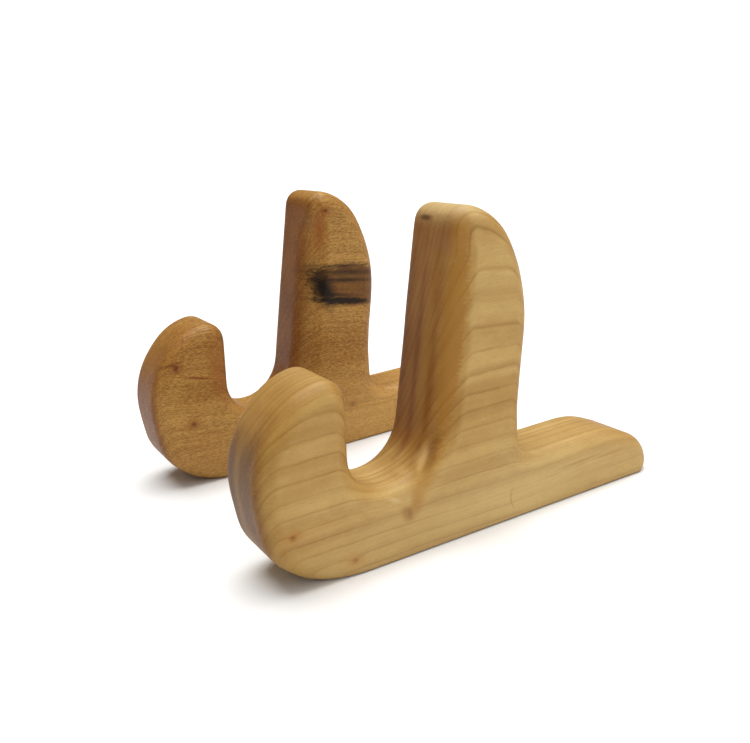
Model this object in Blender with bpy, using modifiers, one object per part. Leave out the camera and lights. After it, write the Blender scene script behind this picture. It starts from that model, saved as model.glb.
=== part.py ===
"""A pair of solid maple rests that stand side by side and cradle the lower edge of a guitar.

Each rest is one piece of board, sawn to its side view and rounded over along its edges: a hooked
knob in front, a cradle that opens upwards, an arm that leans back, and a low tail behind.
Metres, +Z up. The soles stand on z = 0, the knobs face -Y, and the pair is spread along X.
"""

from math import atan2, ceil, cos, pi, radians, sin, tan

import bmesh
import bpy
from mathutils import Vector

# The board and the pair
BOARD_THICKNESS = 0.0445
REST_SPACING = 0.150
EDGE_ROUND_OVER = 0.0095
SOLE_EASING = 0.0015

# Side view, front to back: the knob, the cradle, the arm's root and the tail
KNOB_DEPTH = 0.0445
CRADLE_WIDTH = 0.0412
ARM_ROOT_DEPTH = 0.0555
TAIL_LENGTH = 0.0865

# Heights above the sole
TOE_HEIGHT = 0.0035
CHIN_HEIGHT = 0.0175
KNOB_CHEEK_HEIGHT = 0.0625
KNOB_HEIGHT = 0.096
CRADLE_FLOOR_HEIGHT = 0.035
ARM_HEIGHT = 0.161
ARM_BULGE_HEIGHT = 0.1145
ARM_WAIST_HEIGHT = 0.0565
TAIL_HEIGHT = 0.0287
TAIL_TIP_HEIGHT = 0.0166

# The knob's other sizes: how far its lower corners lie behind its front line, its top, and two slopes
KNOB_CHEEK_INSET = -0.003
CHIN_INSET = 0.002
TOE_INSET = 0.0185
KNOB_TOP_DEPTH = 0.0263
KNOB_TOP_FALL = 0.005
TOE_SLOPE = radians(20)
KNOB_WALL_LEAN = radians(4)

# The arm's other sizes
ARM_LEAN = radians(11.7)
ARM_TOP_DEPTH = 0.0248
ARM_TOP_FALL = 0.0075
ARM_BULGE_DEPTH = 0.050

# How far the tail's crest lies before its tip
TAIL_CREST_FROM_TIP = 0.0265

# Corner radii in the side view. The tightest outside corners stay a little wider than the edges'
# round-over, so that it can follow them
TIGHT_CORNER_RADIUS = EDGE_ROUND_OVER + 0.001
TOE_RADIUS = 0.020
CHIN_RADIUS = 0.027
KNOB_CHEEK_RADIUS = 0.049
KNOB_CROWN_RADIUS = 0.035
CRADLE_FRONT_RADIUS = 0.019
CRADLE_BACK_RADIUS = 0.025
ARM_SHOULDER_RADIUS = 0.037
ARM_BULGE_RADIUS = 0.080
ARM_WAIST_RADIUS = 0.150
NOOK_RADIUS = 0.010
TAIL_CREST_RADIUS = 0.042
TAIL_TIP_RADIUS = 0.0175

# The board is sawn this far below the sole and then cut flat, which leaves the sole's long edges crisp
SAW_ALLOWANCE = 0.014

# How finely curves are divided
ARC_STEP = radians(8)
ROUND_OVER_SEGMENTS = 5
EASING_SEGMENTS = 2
EASED_EDGE_ANGLE = radians(30)
WELD_DISTANCE = 0.00001
FLAT_ANGLE = radians(1)

# Oiled maple: one rest from a pale board, the other from an amber one
PALE_MAPLE = (0.56, 0.35, 0.15, 1.0)
AMBER_MAPLE = (0.44, 0.20, 0.06, 1.0)
OILED_ROUGHNESS = 0.42


def clear_scene():
    """Remove every object that the file opened with."""
    for old_object in list(bpy.data.objects):
        bpy.data.objects.remove(old_object, do_unlink=True)


def new_collection(name):
    """Make a collection in the scene."""
    collection = bpy.data.collections.new(name)
    bpy.context.scene.collection.children.link(collection)
    return collection


def wood_material(name, colour):
    """Oiled wood of one plain colour."""
    material = bpy.data.materials.new(name)
    material.use_nodes = True
    shader = material.node_tree.nodes["Principled BSDF"]
    shader.inputs["Base Color"].default_value = colour
    shader.inputs["Roughness"].default_value = OILED_ROUGHNESS
    shader.inputs["Metallic"].default_value = 0.0
    return material


def rest_corners():
    """Corners of a rest's side view, as (y, z, radius), with y counted back from the knob's front line.

    They run along the bottom from front to back and return over the tail, the arm, the cradle and
    the knob. The first two lie below the sole, on the line where the board is first sawn.
    """
    cradle_front = KNOB_DEPTH
    cradle_back = cradle_front + CRADLE_WIDTH
    tail_root = cradle_back + ARM_ROOT_DEPTH
    tail_tip = tail_root + TAIL_LENGTH

    def arm_face(height):
        return cradle_back + (height - CRADLE_FLOOR_HEIGHT) * tan(ARM_LEAN)

    sole_front = TOE_INSET + (TOE_HEIGHT + SAW_ALLOWANCE) / tan(TOE_SLOPE)
    knob_lip = cradle_front + (KNOB_HEIGHT - CRADLE_FLOOR_HEIGHT) * tan(KNOB_WALL_LEAN)

    return [
        (sole_front, -SAW_ALLOWANCE, 0.0),
        (tail_tip, -SAW_ALLOWANCE, 0.0),
        (tail_tip, TAIL_TIP_HEIGHT, TAIL_TIP_RADIUS),
        (tail_tip - TAIL_CREST_FROM_TIP, TAIL_HEIGHT, TAIL_CREST_RADIUS),
        (tail_root, TAIL_HEIGHT, NOOK_RADIUS),
        (tail_root, ARM_WAIST_HEIGHT, ARM_WAIST_RADIUS),
        (arm_face(ARM_BULGE_HEIGHT) + ARM_BULGE_DEPTH, ARM_BULGE_HEIGHT, ARM_BULGE_RADIUS),
        (arm_face(ARM_HEIGHT) + ARM_TOP_DEPTH, ARM_HEIGHT - ARM_TOP_FALL, ARM_SHOULDER_RADIUS),
        (arm_face(ARM_HEIGHT), ARM_HEIGHT, TIGHT_CORNER_RADIUS),
        (cradle_back, CRADLE_FLOOR_HEIGHT, CRADLE_BACK_RADIUS),
        (cradle_front, CRADLE_FLOOR_HEIGHT, CRADLE_FRONT_RADIUS),
        (knob_lip, KNOB_HEIGHT, TIGHT_CORNER_RADIUS),
        (knob_lip - KNOB_TOP_DEPTH, KNOB_HEIGHT - KNOB_TOP_FALL, KNOB_CROWN_RADIUS),
        (KNOB_CHEEK_INSET, KNOB_CHEEK_HEIGHT, KNOB_CHEEK_RADIUS),
        (CHIN_INSET, CHIN_HEIGHT, CHIN_RADIUS),
        (TOE_INSET, TOE_HEIGHT, TOE_RADIUS),
    ]


def corner_reaches(places, radii):
    """How far each corner's arc reaches along its two sides, shared where arcs would meet on a side."""
    count = len(places)
    half_angles = []
    for index in range(count):
        before = places[index - 1] - places[index]
        after = places[(index + 1) % count] - places[index]
        half_angles.append(before.angle(after) / 2)
    wanted = [radius / tan(half_angle) for radius, half_angle in zip(radii, half_angles)]
    reaches = list(wanted)
    for index in range(count):
        following = (index + 1) % count
        side = (places[following] - places[index]).length
        pair = wanted[index] + wanted[following]
        if pair > side:
            reaches[index] = min(reaches[index], wanted[index] * side / pair)
            reaches[following] = min(reaches[following], wanted[following] * side / pair)
    return reaches, half_angles


def rounded_outline(corners):
    """Points round a closed outline whose corners are arcs."""
    places = [Vector((y, z)) for y, z, radius in corners]
    reaches, half_angles = corner_reaches(places, [radius for y, z, radius in corners])
    points = []
    for index, (place, reach, half_angle) in enumerate(zip(places, reaches, half_angles)):
        if reach == 0.0:
            points.append(place)
            continue
        before = (places[index - 1] - place).normalized()
        after = (places[(index + 1) % len(places)] - place).normalized()
        radius = reach * tan(half_angle)
        centre = place + (before + after).normalized() * radius / sin(half_angle)
        start = place + before * reach - centre
        end = place + after * reach - centre
        first_angle = atan2(start.y, start.x)
        turn = (atan2(end.y, end.x) - first_angle + pi) % (2 * pi) - pi
        steps = max(2, ceil(abs(turn) / ARC_STEP))
        for step in range(steps + 1):
            angle = first_angle + turn * step / steps
            points.append(centre + radius * Vector((cos(angle), sin(angle))))
    return points


def centred(points):
    """Move an outline so that its length is centred on y = 0."""
    middle = (min(point.x for point in points) + max(point.x for point in points)) / 2
    return [Vector((point.x - middle, point.y)) for point in points]


def board_mesh(name, outline):
    """A flat board of the outline's shape as a closed mesh with undivided sides."""
    curve = bpy.data.curves.new(name, "CURVE")
    curve.dimensions = "2D"
    curve.fill_mode = "BOTH"
    curve.extrude = BOARD_THICKNESS / 2
    spline = curve.splines.new("POLY")
    spline.points.add(len(outline) - 1)
    for spline_point, point in zip(spline.points, outline):
        spline_point.co = (point.x, point.y, 0.0, 1.0)
    spline.use_cyclic_u = True

    curve_object = bpy.data.objects.new(name + "_outline", curve)
    bpy.context.scene.collection.objects.link(curve_object)
    graph = bpy.context.evaluated_depsgraph_get()
    mesh = bpy.data.meshes.new_from_object(curve_object.evaluated_get(graph))
    bpy.data.objects.remove(curve_object)
    bpy.data.curves.remove(curve)

    mesh.name = name
    board = bmesh.new()
    board.from_mesh(mesh)
    bmesh.ops.remove_doubles(board, verts=board.verts, dist=WELD_DISTANCE)
    bmesh.ops.dissolve_limit(board, angle_limit=FLAT_ANGLE, verts=board.verts, edges=board.edges)
    bmesh.ops.recalc_face_normals(board, faces=board.faces)
    board.to_mesh(mesh)
    board.free()
    return mesh


def add_bevel(rest, name, width, segments, edge_angle):
    """Round every edge that is sharper than edge_angle."""
    bevel = rest.modifiers.new(name, "BEVEL")
    bevel.width = width
    bevel.segments = segments
    bevel.limit_method = "ANGLE"
    bevel.angle_limit = edge_angle


def make_sole_cutter(outline, collection):
    """A block below z = 0 that takes the saw allowance off both rests and leaves their soles flat."""
    length = max(point.x for point in outline) - min(point.x for point in outline)
    width = REST_SPACING + BOARD_THICKNESS
    depth = 2 * SAW_ALLOWANCE
    bpy.ops.mesh.primitive_cube_add(size=1.0, location=(0.0, 0.0, -depth / 2))
    cutter = bpy.context.object
    cutter.name = "sole_cutter"
    cutter.scale = (2 * width, 2 * length, depth)
    cutter.hide_render = True
    cutter.display_type = "WIRE"
    for owner in list(cutter.users_collection):
        owner.objects.unlink(cutter)
    collection.objects.link(cutter)
    return cutter


def make_rest(name, x, outline, material, cutter, collection):
    """One rest, standing with its middle plane at x."""
    mesh = board_mesh(name, outline)
    mesh.materials.clear()
    mesh.materials.append(material)
    rest = bpy.data.objects.new(name, mesh)
    rest.location = (x, 0.0, 0.0)
    rest.rotation_euler = (radians(90), 0.0, radians(90))
    collection.objects.link(rest)

    add_bevel(rest, "edge_round_over", EDGE_ROUND_OVER, ROUND_OVER_SEGMENTS, EASED_EDGE_ANGLE)
    sole_cut = rest.modifiers.new("sole_cut", "BOOLEAN")
    sole_cut.operation = "DIFFERENCE"
    sole_cut.solver = "EXACT"
    sole_cut.object = cutter
    add_bevel(rest, "sole_easing", SOLE_EASING, EASING_SEGMENTS, EASED_EDGE_ANGLE)

    # Where the outline turns just above the sole, the easing leaves two points in one place.
    weld = rest.modifiers.new("weld", "WELD")
    weld.merge_threshold = WELD_DISTANCE

    mesh.shade_smooth()
    rest.modifiers.new("flat_sides", "WEIGHTED_NORMAL")


def build():
    """Make both rests."""
    clear_scene()
    rests = new_collection("guitar_rest_pair")
    cutters = new_collection("cutters")
    outline = centred(rounded_outline(rest_corners()))
    cutter = make_sole_cutter(outline, cutters)
    pale = wood_material("pale_maple", PALE_MAPLE)
    amber = wood_material("amber_maple", AMBER_MAPLE)
    make_rest("right_rest", REST_SPACING / 2, outline, pale, cutter, rests)
    make_rest("left_rest", -REST_SPACING / 2, outline, amber, cutter, rests)


build()
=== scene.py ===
"""The looks of a two-piece guitar stand: two loose rests, each sawn from one thick maple board.

Lengths are in metres unless a name says mm. +Z is up, the soles stand on z = 0, the knobs face -Y
and the tails +Y. Each rest is a fine solid built round its CAD node's own outline.
"""

from math import cos, radians, sin, sqrt, tau

import bmesh
import bpy
from mathutils import Matrix, Vector


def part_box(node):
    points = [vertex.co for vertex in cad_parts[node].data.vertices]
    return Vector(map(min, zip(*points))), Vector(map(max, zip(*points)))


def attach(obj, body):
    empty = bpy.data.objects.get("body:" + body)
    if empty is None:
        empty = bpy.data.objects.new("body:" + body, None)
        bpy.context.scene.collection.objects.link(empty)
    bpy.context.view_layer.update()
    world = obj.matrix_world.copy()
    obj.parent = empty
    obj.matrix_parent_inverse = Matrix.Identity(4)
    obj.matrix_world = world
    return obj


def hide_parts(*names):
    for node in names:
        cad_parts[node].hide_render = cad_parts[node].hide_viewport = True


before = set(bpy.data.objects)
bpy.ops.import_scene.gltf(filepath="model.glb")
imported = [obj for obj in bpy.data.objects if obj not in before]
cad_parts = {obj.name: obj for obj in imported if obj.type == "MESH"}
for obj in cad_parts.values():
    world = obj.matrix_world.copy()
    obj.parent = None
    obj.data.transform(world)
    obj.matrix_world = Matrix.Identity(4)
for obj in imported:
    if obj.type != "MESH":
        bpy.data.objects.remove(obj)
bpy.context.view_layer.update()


# ---- Camera ---------------------------------------------------------------------------------
# A normal lens a little higher than the arms' tops, in front of the right rest and to its side. It
# looks down, so the cradles, both arms' fronts and the right rest's whole side can be seen.

CAMERA_PLACE = (0.4295, -0.2322, 0.2076)
CAMERA_HEADING = radians(61.66)
CAMERA_LOOKS_DOWN = radians(16.75)
CAMERA_ROLL = radians(-5.33)
LENS_MM = 43.27
SENSOR_WIDTH_MM = 36.0

camera_data = bpy.data.cameras.new("camera")
camera_data.sensor_fit = "HORIZONTAL"
camera_data.sensor_width = SENSOR_WIDTH_MM
camera_data.lens = LENS_MM
camera_data.clip_start = 0.01
camera = bpy.data.objects.new("camera", camera_data)
bpy.context.scene.collection.objects.link(camera)
camera.matrix_world = (
    Matrix.Translation(CAMERA_PLACE)
    @ Matrix.Rotation(CAMERA_HEADING, 4, "Z")
    @ Matrix.Rotation(radians(90) - CAMERA_LOOKS_DOWN, 4, "X")
    @ Matrix.Rotation(CAMERA_ROLL, 4, "Z")
)
bpy.context.scene.camera = camera


# ---- White table and studio light -----------------------------------------------------------
# A matt white sheet under a wide soft light overhead and a weaker, wider one low down beyond the
# right rest's tail. The knobs' fronts face away from the second, so they fall into warm shade.

FLOOR_SIZE = 60.0
FLOOR_WHITE = "F4F4F3"
OVERHEAD_FROM = (-0.15, 0.09, 1.0)
OVERHEAD_SPREAD = radians(56)
OVERHEAD_STRENGTH = 3.6
SIDE_FROM = (0.95, 0.55, 0.30)
SIDE_SPREAD = radians(70)
SIDE_STRENGTH = 0.70
SKY_BRIGHT_TOWARDS = (0.80, 0.50, 0.33)
SKY_DARKEST = 0.05
SKY_BRIGHTEST = 0.50
BACKDROP_BRIGHTNESS = 1.15


def linear(hex_colour):
    """An sRGB hex colour as the linear RGBA that Blender's sockets take."""
    channels = [int(hex_colour[i : i + 2], 16) / 255 for i in (0, 2, 4)]
    curve = [c / 12.92 if c <= 0.04045 else ((c + 0.055) / 1.055) ** 2.4 for c in channels]
    return (*curve, 1.0)


def add(tree, kind, inputs=None, **settings):
    """Adds a node. inputs gives each socket, by name or number, a value or the socket that feeds it."""
    new = tree.nodes.new("ShaderNode" + kind)
    for name, value in settings.items():
        setattr(new, name, value)
    for socket, value in (inputs or {}).items():
        if isinstance(value, bpy.types.NodeSocket):
            tree.links.new(value, new.inputs[socket])
        else:
            new.inputs[socket].default_value = value
    return new


def soft_light(name, comes_from, spread, strength):
    """A light as even over the whole table as a cloudy sky. spread is how wide it looks, as an angle."""
    data = bpy.data.lights.new(name, "SUN")
    data.angle = spread
    data.energy = strength
    light = bpy.data.objects.new(name, data)
    bpy.context.scene.collection.objects.link(light)
    light.rotation_euler = (-Vector(comes_from)).to_track_quat("-Z", "Y").to_euler()


soft_light("overhead_light", OVERHEAD_FROM, OVERHEAD_SPREAD, OVERHEAD_STRENGTH)
soft_light("side_light", SIDE_FROM, SIDE_SPREAD, SIDE_STRENGTH)

room = bpy.data.worlds.new("white_room")
room.use_nodes = True
room.node_tree.nodes.clear()
bpy.context.scene.world = room
direction = add(room.node_tree, "TexCoord")
facing_light = add(
    room.node_tree,
    "VectorMath",
    {0: direction.outputs["Generated"], 1: Vector(SKY_BRIGHT_TOWARDS).normalized()},
    operation="DOT_PRODUCT",
)
sky_level = add(
    room.node_tree,
    "MapRange",
    {"Value": facing_light.outputs["Value"], 1: -0.6, 2: 0.9, 3: SKY_DARKEST, 4: SKY_BRIGHTEST},
    interpolation_type="SMOOTHSTEP",
)
sky = add(room.node_tree, "Background", {"Strength": sky_level.outputs[0]})
backdrop = add(room.node_tree, "Background", {"Color": (1, 1, 1, 1), "Strength": BACKDROP_BRIGHTNESS})
sky.inputs["Color"].default_value = (1, 1, 1, 1)
ray = add(room.node_tree, "LightPath")
seen = add(
    room.node_tree,
    "MixShader",
    {0: ray.outputs["Is Camera Ray"], 1: sky.outputs[0], 2: backdrop.outputs[0]},
)
add(room.node_tree, "OutputWorld", {"Surface": seen.outputs[0]})

floor_mesh = bpy.data.meshes.new("white_table")
half_floor = FLOOR_SIZE / 2
floor_corners = [(x, y, 0) for x, y in ((-1, -1), (1, -1), (1, 1), (-1, 1))]
floor_places = [(x * half_floor, y * half_floor, z) for x, y, z in floor_corners]
floor_mesh.from_pydata(floor_places, [], [(0, 1, 2, 3)])
floor = bpy.data.objects.new("white_table", floor_mesh)
bpy.context.scene.collection.objects.link(floor)
matt_white = bpy.data.materials.new("matt_white_sheet")
matt_white.use_nodes = True
floor_shader = matt_white.node_tree.nodes["Principled BSDF"]
floor_shader.inputs["Base Color"].default_value = linear(FLOOR_WHITE)
floor_shader.inputs["Roughness"].default_value = 0.9
floor_shader.inputs["Specular IOR Level"].default_value = 0.1
floor_mesh.materials.append(matt_white)

bpy.context.scene.view_settings.view_transform = "Standard"


# ---- Right rest -----------------------------------------------------------------------------
# One piece of pale hard maple, bandsawn from a 44.5 mm board, run round with a 9.5 mm round-over
# bit on both faces, sanded by hand and wiped with oil. Its sole is left flat, with eased edges.

EDGE_ROUND_OVER = 0.0095
ROUND_OVER_STEPS = 10
SOLE_EASING = 0.0015
TAIL_EASING = 0.0070
EASING_STEPS = 7
BELOW_SOLE = 0.015
OUTLINE_STEP = 0.001
FAIRING_PASSES = 10
SANDING_WAVES = ((0.073, 0.045), (0.031, 0.025))

# The +X edge of each arm's front was worked further by hand: deeper, wider and from a crisper arris.
ARM_FRONT_Y = (-0.045, 0.010)
ARM_FRONT_Z = (0.038, 0.143)
ARM_FRONT_WIDER = 0.50
ARM_FRONT_DEEPER = 0.85
ARM_FRONT_ARRIS = radians(24)
SOFT_ARRIS = radians(4)
ARM_FRONT_FADE_PASSES = 24
WELD = 1e-6


def middle_outline(node, middle_x):
    """The outline of a rest's CAD solid on its middle plane, toe to tail over the top, as (y, z) points."""
    cut = bmesh.new()
    cut.from_mesh(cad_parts[node].data)
    bmesh.ops.remove_doubles(cut, verts=cut.verts, dist=WELD)
    bmesh.ops.bisect_plane(
        cut,
        geom=cut.verts[:] + cut.edges[:] + cut.faces[:],
        dist=WELD,
        plane_co=(middle_x, 0, 0),
        plane_no=(1, 0, 0),
        clear_inner=True,
        clear_outer=True,
    )
    on_sole = [v for v in cut.verts if v.co.z < 10 * WELD]
    here = min(on_sole, key=lambda v: v.co.y)
    behind = None
    points = []
    while behind is None or here.co.z > 10 * WELD:
        points.append((here.co.y, here.co.z))
        ways = [e.other_vert(here) for e in here.link_edges]
        ahead = max((v for v in ways if v is not behind), key=lambda v: v.co.z if behind is None else 0)
        behind, here = here, ahead
    points.append((here.co.y, here.co.z))
    cut.free()
    return points


def carried_below_sole(inner, outer):
    """The point where the straight run from inner through outer gets well below the sole."""
    drop = (outer[1] + BELOW_SOLE) / (inner[1] - outer[1])
    return (outer[0] + (outer[0] - inner[0]) * drop, -BELOW_SOLE)


def run_below_sole(points):
    """Drops the eased ends of an outline and carries each end straight on, to below the sole."""
    kept = [p for p in points if p[1] > SOLE_EASING + 10 * WELD]
    front = carried_below_sole(kept[1], kept[0])
    back = carried_below_sole(kept[-2], kept[-1])
    return [front] + kept + [back]


def even_spacing(points, step):
    """The same path, with a point about every step."""
    lengths = [0.0]
    for a, b in zip(points, points[1:]):
        lengths.append(lengths[-1] + sqrt((b[0] - a[0]) ** 2 + (b[1] - a[1]) ** 2))
    count = round(lengths[-1] / step)
    even = []
    segment = 0
    for i in range(count + 1):
        along = lengths[-1] * i / count
        while segment < len(lengths) - 2 and lengths[segment + 1] < along:
            segment += 1
        part = (along - lengths[segment]) / (lengths[segment + 1] - lengths[segment])
        a, b = points[segment], points[segment + 1]
        even.append((a[0] + (b[0] - a[0]) * part, a[1] + (b[1] - a[1]) * part))
    return even


def faired(rows, passes):
    """Takes the flats off a path, or off its normals, as a sanding block does. The ends stay."""
    for _ in range(passes):
        middles = [
            tuple((a + 2 * b + c) / 4 for a, b, c in zip(p, q, r))
            for p, q, r in zip(rows, rows[1:], rows[2:])
        ]
        rows = [rows[0]] + middles + [rows[-1]]
    return rows


def inward_normals(points):
    """The direction into the wood at each point of the outline."""
    normals = []
    for i in range(len(points)):
        a, b = points[max(i - 1, 0)], points[min(i + 1, len(points) - 1)]
        y, z = b[1] - a[1], a[0] - b[0]
        normals.append((y / sqrt(y * y + z * z), z / sqrt(y * y + z * z)))
    return normals


def ease_sole(solid):
    """Cuts the solid flat at the sole, and rounds the sole's edges as a sanding block leaves them."""
    geometry = solid.verts[:] + solid.edges[:] + solid.faces[:]
    bmesh.ops.bisect_plane(
        solid, geom=geometry, dist=WELD, plane_co=(0, 0, 0), plane_no=(0, 0, 1), clear_inner=True
    )
    open_edges = [e for e in solid.edges if e.is_boundary]
    bmesh.ops.contextual_create(solid, geom=open_edges)
    heights = [TAIL_EASING * (1 - cos(tau / 4 * i / EASING_STEPS)) for i in range(1, EASING_STEPS + 1)]
    heights.append(SOLE_EASING)
    for height in heights:
        geometry = solid.verts[:] + solid.edges[:] + solid.faces[:]
        bmesh.ops.bisect_plane(
            solid, geom=geometry, dist=WELD, plane_co=(0, 0, height), plane_no=(0, 0, 1)
        )
    bmesh.ops.recalc_face_normals(solid, faces=solid.faces)
    moves = []
    for vert in solid.verts:
        if vert.co.z < TAIL_EASING - WELD:
            walls = sum((f.normal * f.calc_area() for f in vert.link_faces if f.normal.z > -0.99), Vector())
            outward = Vector((walls.x, walls.y, 0)).normalized()
            at_tail = max(outward.y, 0) if vert.co.y > 0 else 0
            easing = SOLE_EASING + (TAIL_EASING - SOLE_EASING) * at_tail
            rise = min(max(easing - vert.co.z, 0), easing)
            moves.append((vert, outward * (easing - sqrt(easing**2 - rise**2))))
    for vert, move in moves:
        vert.co -= move


def arm_front_share(path, inward):
    """1 along the arm's front, fading to 0 round the rest of the outline."""
    share = []
    for p, n in zip(path, inward):
        within = ARM_FRONT_Y[0] < p[0] < ARM_FRONT_Y[1] and ARM_FRONT_Z[0] < p[1] < ARM_FRONT_Z[1]
        share.append((float(n[0] > 0.9 and within),))
    return [row[0] for row in faired(share, ARM_FRONT_FADE_PASSES)]


def rest_solid(name, node, sanding_start):
    """A rest's fine solid: its outline, swept across the board with a quarter-round on both faces."""
    low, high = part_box(node)
    middle_x = (low.x + high.x) / 2
    half_board = (high.x - low.x) / 2
    path = even_spacing(run_below_sole(middle_outline(node, middle_x)), OUTLINE_STEP)
    path = faired(path, FAIRING_PASSES)
    inward = faired(inward_normals(path), FAIRING_PASSES)
    fronts = arm_front_share(path, inward)
    hand = []
    for i in range(len(path)):
        along = tau * i * OUTLINE_STEP
        hand.append(1 + sum(depth * sin(along / length + sanding_start) for length, depth in SANDING_WAVES))

    def ring_at(turn, side):
        """One ring of points: turn goes from 0, on the board's face, to a quarter, on its edge."""
        ring = []
        for p, n, h, arm_front in zip(path, inward, hand, fronts):
            front = arm_front if side > 0 else 0
            arris = SOFT_ARRIS + (ARM_FRONT_ARRIS - SOFT_ARRIS) * front
            angle = arris + (tau / 4 - arris) * turn
            inset = EDGE_ROUND_OVER * (1 - sin(angle)) / (1 - sin(arris)) * h
            inset *= 1 + ARM_FRONT_WIDER * front
            drop = EDGE_ROUND_OVER * (1 - cos(angle) / cos(arris)) * (1 + ARM_FRONT_DEEPER * front)
            x = middle_x + side * (half_board - drop)
            ring.append((x, p[0] + n[0] * inset, p[1] + n[1] * inset))
        return ring

    turns = [i / ROUND_OVER_STEPS for i in range(ROUND_OVER_STEPS + 1)]
    stations = [(turn, -1) for turn in turns] + [(turn, 1) for turn in turns[::-1]]

    solid = bmesh.new()
    rings = []
    for turn, side in stations:
        rings.append([solid.verts.new(point) for point in ring_at(turn, side)])
    for ring, following in zip(rings, rings[1:]):
        for i in range(len(ring)):
            j = (i + 1) % len(ring)
            solid.faces.new((ring[i], ring[j], following[j], following[i]))
    solid.faces.new(rings[0])
    solid.faces.new(rings[-1])
    ease_sole(solid)
    bmesh.ops.recalc_face_normals(solid, faces=solid.faces)

    mesh = bpy.data.meshes.new(name)
    solid.to_mesh(mesh)
    solid.free()
    mesh.shade_smooth()
    rest = bpy.data.objects.new(name, mesh)
    bpy.context.scene.collection.objects.link(rest)
    rest.modifiers.new("flat_faces_stay_flat", "WEIGHTED_NORMAL")
    return rest


MM_PER_METRE = 1000.0
MAPLE_IOR = 1.5
SATIN_SPECULAR = 0.16
OIL_COAT = 0.05
OIL_COAT_ROUGHNESS = 0.30

# Sizes of each pattern along X, Y and Z. Real fibres and pores are under 0.1 mm across, so they are
# drawn several times too coarse, as fine as still shows.
FIBRE_MM = (0.8, 20.0, 0.8)
FLECK_MM = (0.8, 2.3, 0.6)
PORE_MM = (0.35, 4.0, 0.35)
CURL_MM = (12.0, 8.0, 10.0)
TONE_MM = (30.0, 75.0, 26.0)
PATCH_MM = (14.0, 46.0, 12.0)
BOARD_WANDER_MM = (55.0, 120.0, 48.0)
LINE_WANDER_MM = (8.0, 22.0, 7.0)
RAGGED_MM = (2.2, 5.5, 1.1)
HOLLOW_MM = (17.0, 24.0, 17.0)
KNOT_DEPTH_MM = 26.0


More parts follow.
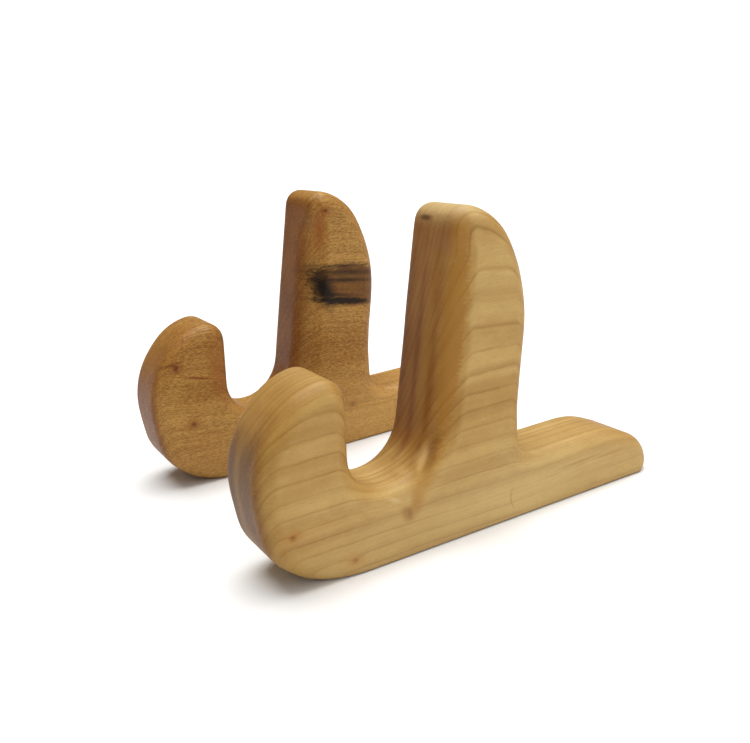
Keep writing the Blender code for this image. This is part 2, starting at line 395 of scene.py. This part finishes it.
def maple(name, middle_x, pith_mm, ring_mm, slope, colours, shares, knots, marks_and_painted_light):
    """Oiled maple cut from one board: rings round a distant pith, fibre along Y, then knots, stains and
    painted light and shade.

    Places are in mm from the middle of the board, the rests' middle and the sole. slope is the
    grain's fall towards the tail at two heights, ((height, fall), (height, fall)). shares says how
    strongly each pattern shows. A knot is (place, tilt about X in degrees, radius). A mark is
    (place, half sizes, tilt about X in degrees, colour, share, how soft its edge is from 0 to 1).
    """
    material = bpy.data.materials.new(name)
    material.use_nodes = True
    tree = material.node_tree
    tree.nodes.clear()

    body = add(tree, "TexCoord")
    centred = add(
        tree, "VectorMath", {0: body.outputs["Object"], 1: (middle_x, 0, 0)}, operation="SUBTRACT"
    )
    place = add(tree, "VectorMath", {0: centred.outputs[0], "Scale": MM_PER_METRE}, operation="SCALE")
    place = place.outputs[0]

    def pattern(size_mm, **inputs):
        """Noise whose blobs have that size in mm along X, Y and Z."""
        shrunk = add(
            tree, "VectorMath", {0: place, 1: tuple(1 / s for s in size_mm)}, operation="MULTIPLY"
        )
        return add(tree, "TexNoise", {"Vector": shrunk.outputs[0], "Scale": 1.0, **inputs})

    def tinted(base, part, tint, blend="MIX"):
        """base with part of the way to tint, which is a hex colour."""
        mixed = add(
            tree, "Mix", {0: part, 6: base, 7: linear(tint)}, data_type="RGBA", blend_type=blend
        )
        return mixed.outputs[2]

    def spot(centre_mm, half_sizes_mm, tilt, softness, raggedness):
        """1 inside a ragged ellipsoid of those half sizes, falling to 0 outside it."""
        inside = add(
            tree,
            "Mapping",
            {
                "Vector": place,
                "Location": centre_mm,
                "Rotation": (radians(tilt), 0, 0),
                "Scale": half_sizes_mm,
            },
            vector_type="TEXTURE",
        )
        reach = add(tree, "VectorMath", {0: inside.outputs[0]}, operation="LENGTH")
        frayed = add(
            tree,
            "Math",
            {0: ragged.outputs[0], 1: raggedness, 2: reach.outputs["Value"]},
            operation="MULTIPLY_ADD",
        )
        middle = 1 + raggedness / 2
        part = add(
            tree,
            "MapRange",
            {"Value": frayed.outputs[0], 1: middle - softness, 2: middle + softness / 2, 3: 1.0, 4: 0.0},
            interpolation_type="SMOOTHSTEP",
        )
        return part.outputs[0]

    ragged = pattern(RAGGED_MM, Detail=3.0)

    # The log was never a true cylinder, so the rings wander, slowly and in small ripples.
    wander = place
    for size_mm, reach_mm in (
        (BOARD_WANDER_MM, shares["wander_mm"]),
        (LINE_WANDER_MM, shares["ripple_mm"]),
    ):
        noise = pattern(size_mm, Detail=2.0)
        offset = add(
            tree, "VectorMath", {0: noise.outputs["Color"], 1: (0.5, 0.5, 0.5)}, operation="SUBTRACT"
        )
        wander = add(
            tree,
            "VectorMath",
            {0: offset.outputs[0], 1: (2 * reach_mm, 0, 2 * reach_mm), 2: wander},
            operation="MULTIPLY_ADD",
        ).outputs[0]
    axes = add(tree, "SeparateXYZ", {0: wander})
    fall = add(
        tree,
        "MapRange",
        {"Value": axes.outputs["Z"], 1: slope[0][0], 2: slope[1][0], 3: slope[0][1], 4: slope[1][1]},
    )
    level = add(
        tree,
        "Math",
        {0: axes.outputs["Y"], 1: fall.outputs[0], 2: axes.outputs["Z"]},
        operation="MULTIPLY_ADD",
    ).outputs[0]

    # A pin knot is the foot of a twig: a dark core, a warm halo, and rings that part round it.
    cores = []
    halos = []
    for centre_mm, tilt, radius in knots:
        cores.append(spot(centre_mm, (KNOT_DEPTH_MM, radius, 0.8 * radius), tilt, 0.9, 2.0))
        halo = spot(centre_mm, (KNOT_DEPTH_MM, 3.0 * radius, 2.2 * radius), tilt, 1.0, 0.9)
        halos.append(halo)
        level = add(tree, "Math", {0: halo, 1: radius, 2: level}, operation="MULTIPLY_ADD").outputs[0]

    # Each year's ring closes with a thin, darker line of late wood, stronger in some years.
    section = add(tree, "CombineXYZ", {"X": axes.outputs["X"], "Z": level})
    from_pith = add(
        tree, "VectorMath", {0: section.outputs[0], 1: (pith_mm[0], 0, pith_mm[1])}, operation="DISTANCE"
    )
    years = add(tree, "Math", {0: from_pith.outputs["Value"], 1: ring_mm}, operation="DIVIDE")
    season = add(tree, "Math", {0: years.outputs[0]}, operation="FRACT")
    late_wood = add(tree, "ValToRGB", {0: season.outputs[0]})
    late_wood.color_ramp.interpolation = "EASE"
    stops = late_wood.color_ramp.elements
    stops[0].position, stops[0].color = 0.0, (0.35, 0.35, 0.35, 1)
    stops[1].position, stops[1].color = 1.0, (0.35, 0.35, 0.35, 1)
    for position, grey in ((0.06, 0.05), (0.45, 0.0), (0.80, 0.22), (0.92, 0.80), (0.955, 1.0)):
        stop = stops.new(position)
        stop.color = (grey, grey, grey, 1)
    patchy = pattern(PATCH_MM, Detail=2.0)
    strength = add(tree, "MapRange", {"Value": patchy.outputs[0], 1: 0.36, 2: 0.64, 3: 0.32, 4: 1.0})
    line = add(tree, "Math", {0: late_wood.outputs[0], 1: strength.outputs[0]}, operation="MULTIPLY")
    line = add(tree, "Math", {0: line.outputs[0], 1: shares["line"]}, operation="MULTIPLY")
    band = add(
        tree, "TexNoise", {"W": years.outputs[0], "Scale": 0.8, "Detail": 2.0}, noise_dimensions="1D"
    )
    band = add(tree, "MapRange", {"Value": band.outputs[0], 1: 0.40, 2: 0.66, 3: 0.0, 4: shares["band"]})

    # Base colour, from the slow tone of the board down to single fibres.
    tone = pattern(TONE_MM, Detail=3.0)
    tone = add(tree, "MapRange", {"Value": tone.outputs[0], 1: 0.38, 2: 0.62})
    colour = tinted(linear(colours["sapwood"]), tone.outputs[0], colours["heartwood"])
    colour = tinted(colour, band.outputs[0], colours["late_wood"])
    colour = tinted(colour, line.outputs[0], colours["late_wood"])
    fibre = pattern(FIBRE_MM, Detail=4.0, Roughness=0.6)
    fleck = pattern(FLECK_MM, Detail=3.0, Roughness=0.65)
    pore = pattern(PORE_MM, Detail=2.0, Roughness=0.5)
    curl = pattern(CURL_MM, Detail=3.0, Roughness=0.55)
    for noise, low, high, share, tint in (
        (curl, 0.40, 0.66, shares["curl"], colours["late_wood"]),
        (fibre, 0.42, 0.68, shares["fibre"], colours["late_wood"]),
        (fleck, 0.51, 0.61, shares["fleck"], colours["late_wood"]),
        (fleck, 0.47, 0.38, shares["fleck"] * 0.8, colours["ray"]),
        (pore, 0.58, 0.72, 0.20, colours["late_wood"]),
    ):
        part = add(tree, "MapRange", {"Value": noise.outputs[0], 1: low, 2: high, 3: 0.0, 4: share})
        colour = tinted(colour, part.outputs[0], tint)

    # Cut ends of fibres drink the oil, so they go amber as soon as a round-over bites into them,
    # and darkest where the knob's front, the arm's front and the tail's end cut straight across.
    facing = add(tree, "SeparateXYZ", {0: body.outputs["Normal"]})
    endwise = add(tree, "Math", {0: facing.outputs["Y"]}, operation="ABSOLUTE")
    for low, high, share, tint in (
        (0.06, 0.48, shares["cut_edge"], colours["cut_edge"]),
        (0.62, 0.98, shares["end_grain"], colours["end_grain"]),
    ):
        part = add(
            tree,
            "MapRange",
            {"Value": endwise.outputs[0], 1: low, 2: high, 3: 0.0, 4: share},
            interpolation_type="SMOOTHSTEP",
        )
        colour = tinted(colour, part.outputs[0], tint, "MULTIPLY")

    for shade, share, amounts in (("knot_halo", 0.62, halos), ("knot_core", 0.72, cores)):
        for amount in amounts:
            part = add(tree, "Math", {0: amount, 1: share}, operation="MULTIPLY")
            colour = tinted(colour, part.outputs[0], colours[shade])
    # Marks: the wood's own stains and figure, and also painted light and shade, each as a ragged patch of
    # colour.
    for centre_mm, half_sizes_mm, tilt, tint, share, softness in marks_and_painted_light:
        part = add(
            tree,
            "Math",
            {0: spot(centre_mm, half_sizes_mm, tilt, softness, 0.7), 1: share},
            operation="MULTIPLY",
        )
        colour = tinted(colour, part.outputs[0], tint)

    # A satin wiped oil: fibres show in the gloss, and the sanding left faint hollows.
    gloss = add(tree, "MapRange", {"Value": fibre.outputs[0], 1: 0.3, 2: 0.7, 3: 0.42, 4: 0.58})
    hollows = pattern(HOLLOW_MM, Detail=1.0)
    height = 0.0
    for source, depth_mm in (
        (hollows, 0.45),
        (fibre, 0.06),
        (fleck, shares["fleck_depth_mm"]),
        (pore, 0.03),
    ):
        height = add(
            tree, "Math", {0: source.outputs[0], 1: depth_mm, 2: height}, operation="MULTIPLY_ADD"
        ).outputs[0]
    relief = add(tree, "Bump", {"Strength": 1.0, "Distance": 1 / MM_PER_METRE, "Height": height})
    surface = add(
        tree,
        "BsdfPrincipled",
        {
            "Base Color": colour,
            "Roughness": gloss.outputs[0],
            "Normal": relief.outputs[0],
            "IOR": MAPLE_IOR,
            "Specular IOR Level": SATIN_SPECULAR,
            "Coat Weight": OIL_COAT,
            "Coat Roughness": OIL_COAT_ROUGHNESS,
        },
    )
    add(tree, "OutputMaterial", {"Surface": surface.outputs[0]})
    return material, {"tree": tree, "place": place, "ragged": ragged, "colour": colour, "surface": surface}


RIGHT_COLOURS = {
    "sapwood": "C0A062",
    "heartwood": "B28E50",
    "late_wood": "865A24",
    "ray": "CDB07C",
    "cut_edge": "E8D0A0",
    "end_grain": "B98048",
    "knot_halo": "A6661E",
    "knot_core": "6E3C16",
}
RIGHT_SHARES = {
    "wander_mm": 1.5,
    "ripple_mm": 0.40,
    "line": 0.66,
    "band": 0.30,
    "curl": 0.10,
    "fibre": 0.09,
    "fleck": 0.08,
    "fleck_depth_mm": 0.02,
    "cut_edge": 0.42,
    "end_grain": 0.60,
}
RIGHT_KNOTS = (
    ((22.0, -72.0, 8.0), 0, 1.7),
    ((22.0, -101.0, 29.0), 0, 1.6),
)
RIGHT_MARKS_AND_PAINTED_LIGHT = (
    # Painted shade on the arm's front over its own leaning streaks: amber on the wide round-over, darkest
    # towards the far edge
    ((19.0, -11.0, 100.0), (6.5, 8.0, 62.0), -11.7, "9A661C", 0.66, 0.3),
    ((5.0, -19.0, 96.0), (5.0, 9.0, 60.0), -9.0, "B08030", 0.42, 0.9),
    ((-2.0, -19.0, 80.0), (2.5, 9.0, 70.0), -14.0, "6A3214", 0.45, 0.9),
    ((-16.0, -20.0, 92.0), (7.0, 14.0, 60.0), -12, "5C2A12", 0.55, 0.9),
    ((10.0, -18.0, 70.0), (2.0, 8.0, 34.0), -15.0, "744010", 0.40, 0.9),
    # Painted shade on the knob's front and under its chin, a paler stripe left between, and two soft bands
    # on its side
    ((14.0, -106.0, 52.0), (16.0, 14.0, 38.0), 4, "86601E", 0.36, 1.0),
    ((8.0, -110.0, 44.0), (5.0, 9.0, 40.0), 0, "5E3A12", 0.50, 1.0),
    ((-6.0, -113.0, 48.0), (22.0, 8.0, 44.0), 0, "4A2C0A", 0.70, 1.0),
    ((0.0, -102.0, 12.0), (24.0, 15.0, 13.0), 0, "94701E", 0.50, 1.0),
    ((-4.0, -112.0, 52.0), (4.0, 9.0, 34.0), 0, "B48A40", 0.30, 1.0),
    ((21.0, -88.0, 76.0), (8.0, 18.0, 5.0), 8, "946826", 0.30, 1.0),
    ((21.0, -84.0, 50.0), (8.0, 20.0, 2.6), 3, "946826", 0.22, 1.0),
    # The scar of a twig in the foot, with the feathered figure that rises from it to the arm
    ((20.0, -37.5, 25.5), (9.0, 4.0, 7.0), -20, "95611A", 0.80, 0.7),
    ((20.0, -42.5, 22.0), (9.0, 3.4, 4.8), 20, "8C5816", 0.82, 0.6),
    ((21.0, -41.5, 22.0), (9.0, 1.4, 2.8), 0, "56340E", 0.60, 0.9),
    ((18.0, -31.0, 35.0), (9.0, 5.0, 14.0), -35, "A4701E", 0.62, 0.9),
    ((14.0, -24.0, 46.0), (9.0, 2.6, 12.0), -32, "6A3C12", 0.70, 0.8),
    ((15.0, -29.0, 43.0), (6.0, 1.0, 7.0), -38, "D8B478", 0.50, 0.9),
    ((14.0, -33.0, 46.0), (6.0, 1.2, 8.0), -30, "7A4A18", 0.60, 0.8),
    ((10.0, -35.0, 40.0), (7.0, 1.1, 6.0), -46, "D8B478", 0.40, 0.9),
    # A painted highlight along the near edge of the groove's floor
    ((16.0, -48.0, 30.0), (7.0, 3.4, 1.4), -20, "E8D4A4", 0.34, 1.0),
    # A painted highlight over the arm's top, where the overhead light falls, and a stain just below it
    ((0.0, 4.0, 160.0), (30.0, 26.0, 9.0), 0, "E4CC98", 0.42, 1.0),
    ((-6.0, -4.0, 152.5), (5.5, 4.0, 1.5), 0, "3E1E10", 0.75, 0.7),
    # Two gum lines in the tail, painted light along the foot's near side where the table throws light up,
    # and a painted contact shadow along the sole's edge
    ((20.0, 62.0, 18.5), (8.0, 15.0, 1.0), 2, "94581A", 0.60, 0.9),
    ((20.0, 84.0, 17.5), (8.0, 12.0, 0.9), 2, "94581A", 0.45, 0.9),
    ((22.0, 10.0, 10.0), (12.0, 125.0, 26.0), 0, "DCC48C", 0.28, 1.0),
    ((0.0, 0.0, 0.0), (60.0, 400.0, 0.9), 0, "4A2412", 0.80, 0.8),
)
HAIRLINE_PLACE_MM = (22.0, 26.0, 11.5)
HAIRLINE_RADIUS_MM = 9.0
HAIRLINE_WIDTH_MM = 0.35
HAIRLINE_END_Y_MM = 19.5
HAIRLINE_FADE_MM = 3.0
HAIRLINE_SHARE = 0.38
HAIRLINE_COLOUR = "7A5224"

right_low, right_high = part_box("right_rest")
right_wood = rest_solid("right_rest_wood", "right_rest", sanding_start=0.6)
right_finish, right_parts = maple(
    "oiled_pale_maple",
    middle_x=(right_low.x + right_high.x) / 2,
    pith_mm=(-255.0, 195.0),
    ring_mm=3.75,
    slope=((80.0, 0.0), (150.0, 0.2)),
    colours=RIGHT_COLOURS,
    shares=RIGHT_SHARES,
    knots=RIGHT_KNOTS,
    marks_and_painted_light=RIGHT_MARKS_AND_PAINTED_LIGHT,
)

# A short curved hairline crosses the foot's side, where a fibre lifted and was oiled over.
tree = right_parts["tree"]
from_bend = add(
    tree, "VectorMath", {0: right_parts["place"], 1: HAIRLINE_PLACE_MM}, operation="SUBTRACT"
)
in_side = add(tree, "VectorMath", {0: from_bend.outputs[0], 1: (0, 1, 1)}, operation="MULTIPLY")
from_bend = add(tree, "VectorMath", {0: in_side.outputs[0]}, operation="LENGTH")
on_line = add(
    tree,
    "Math",
    {0: from_bend.outputs["Value"], 1: HAIRLINE_RADIUS_MM, 2: HAIRLINE_WIDTH_MM},
    operation="COMPARE",
)
along_board = add(tree, "SeparateXYZ", {0: right_parts["place"]})
before_end = add(
    tree,
    "MapRange",
    {
        "Value": along_board.outputs["Y"],
        1: HAIRLINE_END_Y_MM - HAIRLINE_FADE_MM,
        2: HAIRLINE_END_Y_MM,
        3: HAIRLINE_SHARE,
        4: 0,
    },
)
near_side = add(
    tree, "Math", {0: along_board.outputs["X"], 1: HAIRLINE_PLACE_MM[0] - 3}, operation="GREATER_THAN"
)
hairline = add(tree, "Math", {0: on_line.outputs[0], 1: before_end.outputs[0]}, operation="MULTIPLY")
hairline = add(tree, "Math", {0: hairline.outputs[0], 1: near_side.outputs[0]}, operation="MULTIPLY")
scored = add(
    tree,
    "Mix",
    {0: hairline.outputs[0], 6: right_parts["colour"], 7: linear(HAIRLINE_COLOUR)},
    data_type="RGBA",
)
tree.links.new(scored.outputs[2], right_parts["surface"].inputs["Base Color"])

right_wood.data.materials.append(right_finish)
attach(right_wood, "right_rest")
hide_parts("right_rest")


# ---- Left rest ------------------------------------------------------------------------------
# The same rest from a redder, more figured board, with its grain falling towards the tail. A
# mineral streak, a blackish stain from the living tree, crosses the side of the arm.

LEFT_COLOURS = {
    "sapwood": "BE924C",
    "heartwood": "A67736",
    "late_wood": "643A12",
    "ray": "CFA25C",
    "cut_edge": "E0BC90",
    "end_grain": "BC906A",
    "knot_halo": "7E4018",
    "knot_core": "40200E",
}
LEFT_SHARES = {
    "wander_mm": 1.3,
    "ripple_mm": 0.55,
    "line": 0.46,
    "band": 0.26,
    "curl": 0.10,
    "fibre": 0.26,
    "fleck": 0.46,
    "fleck_depth_mm": 0.09,
    "cut_edge": 0.24,
    "end_grain": 0.72,
}
LEFT_KNOTS = (
    ((22.0, -98.0, 73.0), 12, 1.6),
    ((22.0, -93.0, 38.5), 0, 1.9),
    ((22.0, 5.0, 147.5), 0, 1.5),
    ((22.0, 10.0, 25.5), -8, 1.7),
)
STREAK = "110802"
LEFT_MARKS_AND_PAINTED_LIGHT = (
    # Reddish lines and patches on the knob and near the arm's top
    ((20.0, -87.0, 65.0), (8.0, 11.0, 1.0), -17, "70290C", 0.75, 0.8),
    ((20.0, -102.0, 74.5), (8.0, 7.0, 0.9), 12, "5E2A10", 0.55, 0.9),
    ((20.0, -74.0, 66.0), (9.0, 7.0, 20.0), 0, "8A4010", 0.42, 1.0),
    ((20.0, 1.0, 136.0), (9.0, 3.6, 14.0), -8, "8E4410", 0.58, 1.0),
    # The mineral streak: a brown body, dark lines along it, then its blunt black tip
    ((18.0, 18.0, 101.5), (24.0, 28.0, 13.5), -11, "5C3210", 0.74, 0.25),
    ((18.0, 15.0, 109.0), (24.0, 27.0, 2.6), -9, STREAK, 0.72, 1.0),
    ((18.0, 13.0, 104.5), (24.0, 23.0, 1.6), -9, STREAK, 0.85, 1.0),
    ((18.0, 12.0, 113.5), (24.0, 19.0, 1.2), -6, STREAK, 0.72, 1.0),
    ((18.0, 10.5, 92.0), (24.0, 23.0, 2.6), -11, STREAK, 0.95, 0.5),
    ((18.0, 6.0, 96.5), (24.0, 17.0, 1.4), -11, STREAK, 0.75, 1.0),
    ((18.0, -1.5, 101.5), (24.0, 7.4, 14.5), 16, STREAK, 0.99, 0.8),
    # Painted light along the foot's near side where the table throws light up, and a painted contact shadow
    # along the sole's edge
    ((22.0, 0.0, 14.0), (12.0, 125.0, 28.0), 0, "D8AC66", 0.32, 1.0),
    ((0.0, 0.0, 0.0), (60.0, 400.0, 0.9), 0, "3A1A0C", 0.80, 0.8),
)

left_low, left_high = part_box("left_rest")
left_wood = rest_solid("left_rest_wood", "left_rest", sanding_start=2.9)
left_finish, _ = maple(
    "oiled_amber_maple",
    middle_x=(left_low.x + left_high.x) / 2,
    pith_mm=(-230.0, 260.0),
    ring_mm=1.9,
    slope=((10.0, 0.03), (60.0, 0.17)),
    colours=LEFT_COLOURS,
    shares=LEFT_SHARES,
    knots=LEFT_KNOTS,
    marks_and_painted_light=LEFT_MARKS_AND_PAINTED_LIGHT,
)
left_wood.data.materials.append(left_finish)
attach(left_wood, "left_rest")
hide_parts("left_rest")
